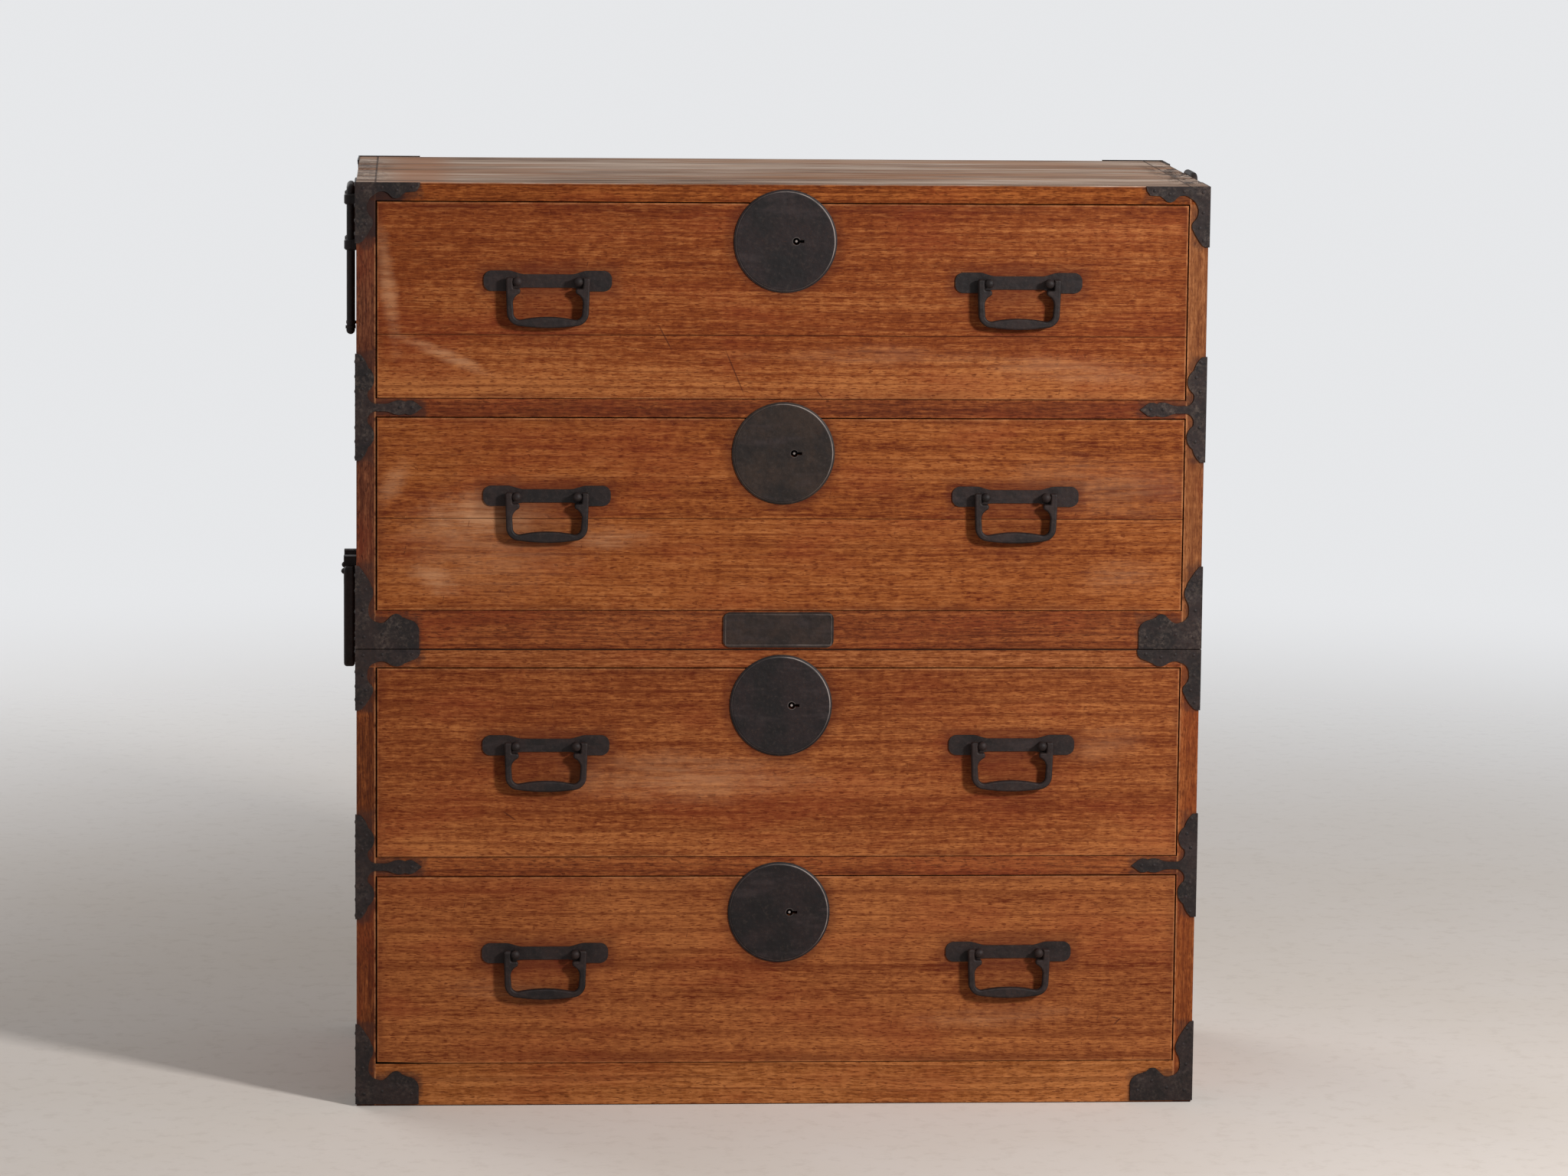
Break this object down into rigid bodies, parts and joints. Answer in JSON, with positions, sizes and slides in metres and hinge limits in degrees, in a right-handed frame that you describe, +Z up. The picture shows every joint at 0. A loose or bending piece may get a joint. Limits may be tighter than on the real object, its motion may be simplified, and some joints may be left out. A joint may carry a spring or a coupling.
{
  "type": "isho clothing chest",
  "caption": "Stacked wooden clothing chest with full-width drawers, round lock plates, iron corner straps, bail handles and sliding carrying bars.",
  "frame": {"origin": "middle of the chest's footprint on the floor plane", "axes": "+Z up, the drawer fronts face -Y, +X to the right as seen from the front"},
  "size_m": [0.9784, 0.43, 1.0375],
  "materials": {
    "case_wood": "aged stained wood, open grain, worn edges",
    "top_wood": "weathered grey wood, dry",
    "drawer_wood": "oiled orange-brown wood with horizontal grain",
    "inner_wood": "plain pale unfinished wood",
    "black_iron": "blackened forged iron, lightly worn"
  },
  "bodies": {
    "lower_case": {"lower_top_board": "case_wood", "lower_left_side": "case_wood", "lower_right_side": "case_wood", "lower_bottom_board": "inner_wood", "lower_back_panel": "inner_wood", "lower_divider_rail": "case_wood", "lower_dust_shelf": "inner_wood", "lower_bottom_rail": "case_wood", "lower_irons": "black_iron", "lower_nails": "black_iron"},
    "upper_case": {"upper_top_board": "top_wood", "upper_left_side": "case_wood", "upper_right_side": "case_wood", "upper_bottom_board": "inner_wood", "upper_back_panel": "inner_wood", "upper_divider_rail": "case_wood", "upper_dust_shelf": "inner_wood", "upper_bottom_rail": "case_wood", "upper_irons": "black_iron", "upper_nails": "black_iron", "name_plate": "black_iron", "carry_bar_guides": "black_iron", "side_bail_lugs": "black_iron", "side_nails": "black_iron"},
    "drawer_1": {"drawer_1_front": "drawer_wood", "drawer_1_walls": "inner_wood", "drawer_1_bottom": "inner_wood", "drawer_1_lock": "black_iron", "drawer_1_handle_mounts": "black_iron"},
    "drawer_1_bolt": {"drawer_1_lock_bolt": "black_iron"},
    "drawer_1_bail_left": {"drawer_1_bail_left": "black_iron"},
    "drawer_1_bail_right": {"drawer_1_bail_right": "black_iron"},
    "drawer_2": {"drawer_2_front": "drawer_wood", "drawer_2_walls": "inner_wood", "drawer_2_bottom": "inner_wood", "drawer_2_lock": "black_iron", "drawer_2_handle_mounts": "black_iron"},
    "drawer_2_bolt": {"drawer_2_lock_bolt": "black_iron"},
    "drawer_2_bail_left": {"drawer_2_bail_left": "black_iron"},
    "drawer_2_bail_right": {"drawer_2_bail_right": "black_iron"},
    "drawer_3": {"drawer_3_front": "drawer_wood", "drawer_3_walls": "inner_wood", "drawer_3_bottom": "inner_wood", "drawer_3_lock": "black_iron", "drawer_3_handle_mounts": "black_iron"},
    "drawer_3_bolt": {"drawer_3_lock_bolt": "black_iron"},
    "drawer_3_bail_left": {"drawer_3_bail_left": "black_iron"},
    "drawer_3_bail_right": {"drawer_3_bail_right": "black_iron"},
    "drawer_4": {"drawer_4_front": "drawer_wood", "drawer_4_walls": "inner_wood", "drawer_4_bottom": "inner_wood", "drawer_4_lock": "black_iron", "drawer_4_handle_mounts": "black_iron"},
    "drawer_4_bolt": {"drawer_4_lock_bolt": "black_iron"},
    "drawer_4_bail_left": {"drawer_4_bail_left": "black_iron"},
    "drawer_4_bail_right": {"drawer_4_bail_right": "black_iron"},
    "carry_bar_left": {"carry_bar_left": "black_iron"},
    "side_bail_left": {"side_bail_left": "black_iron"},
    "carry_bar_right": {"carry_bar_right": "black_iron"},
    "side_bail_right": {"side_bail_right": "black_iron"}
  },
  "joints": [
    {"name": "upper_case_lift", "type": "slide", "parent": "lower_case", "child": "upper_case", "axis": [0, 0, 1], "range_m": [0, 0.15]},
    {"name": "drawer_1_slide", "type": "slide", "parent": "upper_case", "child": "drawer_1", "axis": [0, -1, 0], "range_m": [0, 0.34]},
    {"name": "drawer_1_bolt_slide", "type": "slide", "parent": "drawer_1", "child": "drawer_1_bolt", "axis": [0, 0, 1], "range_m": [0, 0.01]},
    {"name": "drawer_1_bail_left_swing", "type": "hinge", "parent": "drawer_1", "child": "drawer_1_bail_left", "pos_m": [-0.26, -0.215, 0.9275], "axis": [-1, 0, 0], "range_deg": [0, 175]},
    {"name": "drawer_1_bail_right_swing", "type": "hinge", "parent": "drawer_1", "child": "drawer_1_bail_right", "pos_m": [0.26, -0.215, 0.9275], "axis": [-1, 0, 0], "range_deg": [0, 175]},
    {"name": "drawer_2_slide", "type": "slide", "parent": "upper_case", "child": "drawer_2", "axis": [0, -1, 0], "range_m": [0, 0.34]},
    {"name": "drawer_2_bolt_slide", "type": "slide", "parent": "drawer_2", "child": "drawer_2_bolt", "axis": [0, 0, 1], "range_m": [0, 0.01]},
    {"name": "drawer_2_bail_left_swing", "type": "hinge", "parent": "drawer_2", "child": "drawer_2_bail_left", "pos_m": [-0.26, -0.215, 0.6895], "axis": [-1, 0, 0], "range_deg": [0, 175]},
    {"name": "drawer_2_bail_right_swing", "type": "hinge", "parent": "drawer_2", "child": "drawer_2_bail_right", "pos_m": [0.26, -0.215, 0.6895], "axis": [-1, 0, 0], "range_deg": [0, 175]},
    {"name": "drawer_3_slide", "type": "slide", "parent": "lower_case", "child": "drawer_3", "axis": [0, -1, 0], "range_m": [0, 0.34]},
    {"name": "drawer_3_bolt_slide", "type": "slide", "parent": "drawer_3", "child": "drawer_3_bolt", "axis": [0, 0, 1], "range_m": [0, 0.01]},
    {"name": "drawer_3_bail_left_swing", "type": "hinge", "parent": "drawer_3", "child": "drawer_3_bail_left", "pos_m": [-0.26, -0.215, 0.41], "axis": [-1, 0, 0], "range_deg": [0, 175]},
    {"name": "drawer_3_bail_right_swing", "type": "hinge", "parent": "drawer_3", "child": "drawer_3_bail_right", "pos_m": [0.26, -0.215, 0.41], "axis": [-1, 0, 0], "range_deg": [0, 175]},
    {"name": "drawer_4_slide", "type": "slide", "parent": "lower_case", "child": "drawer_4", "axis": [0, -1, 0], "range_m": [0, 0.34]},
    {"name": "drawer_4_bolt_slide", "type": "slide", "parent": "drawer_4", "child": "drawer_4_bolt", "axis": [0, 0, 1], "range_m": [0, 0.01]},
    {"name": "drawer_4_bail_left_swing", "type": "hinge", "parent": "drawer_4", "child": "drawer_4_bail_left", "pos_m": [-0.26, -0.215, 0.1745], "axis": [-1, 0, 0], "range_deg": [0, 175]},
    {"name": "drawer_4_bail_right_swing", "type": "hinge", "parent": "drawer_4", "child": "drawer_4_bail_right", "pos_m": [0.26, -0.215, 0.1745], "axis": [-1, 0, 0], "range_deg": [0, 175]},
    {"name": "carry_bar_left_slide", "type": "slide", "parent": "upper_case", "child": "carry_bar_left", "axis": [0, 0, 1], "range_m": [0, 0.085]},
    {"name": "side_bail_left_swing", "type": "hinge", "parent": "upper_case", "child": "side_bail_left", "pos_m": [-0.4798, 0, 0.58], "axis": [0, 1, 0], "range_deg": [0, 175]},
    {"name": "carry_bar_right_slide", "type": "slide", "parent": "upper_case", "child": "carry_bar_right", "axis": [0, 0, 1], "range_m": [-0.0182, 0.0668]},
    {"name": "side_bail_right_swing", "type": "hinge", "parent": "upper_case", "child": "side_bail_right", "pos_m": [0.4798, 0, 0.58], "axis": [0, -1, 0], "range_deg": [0, 175]}
  ]
}
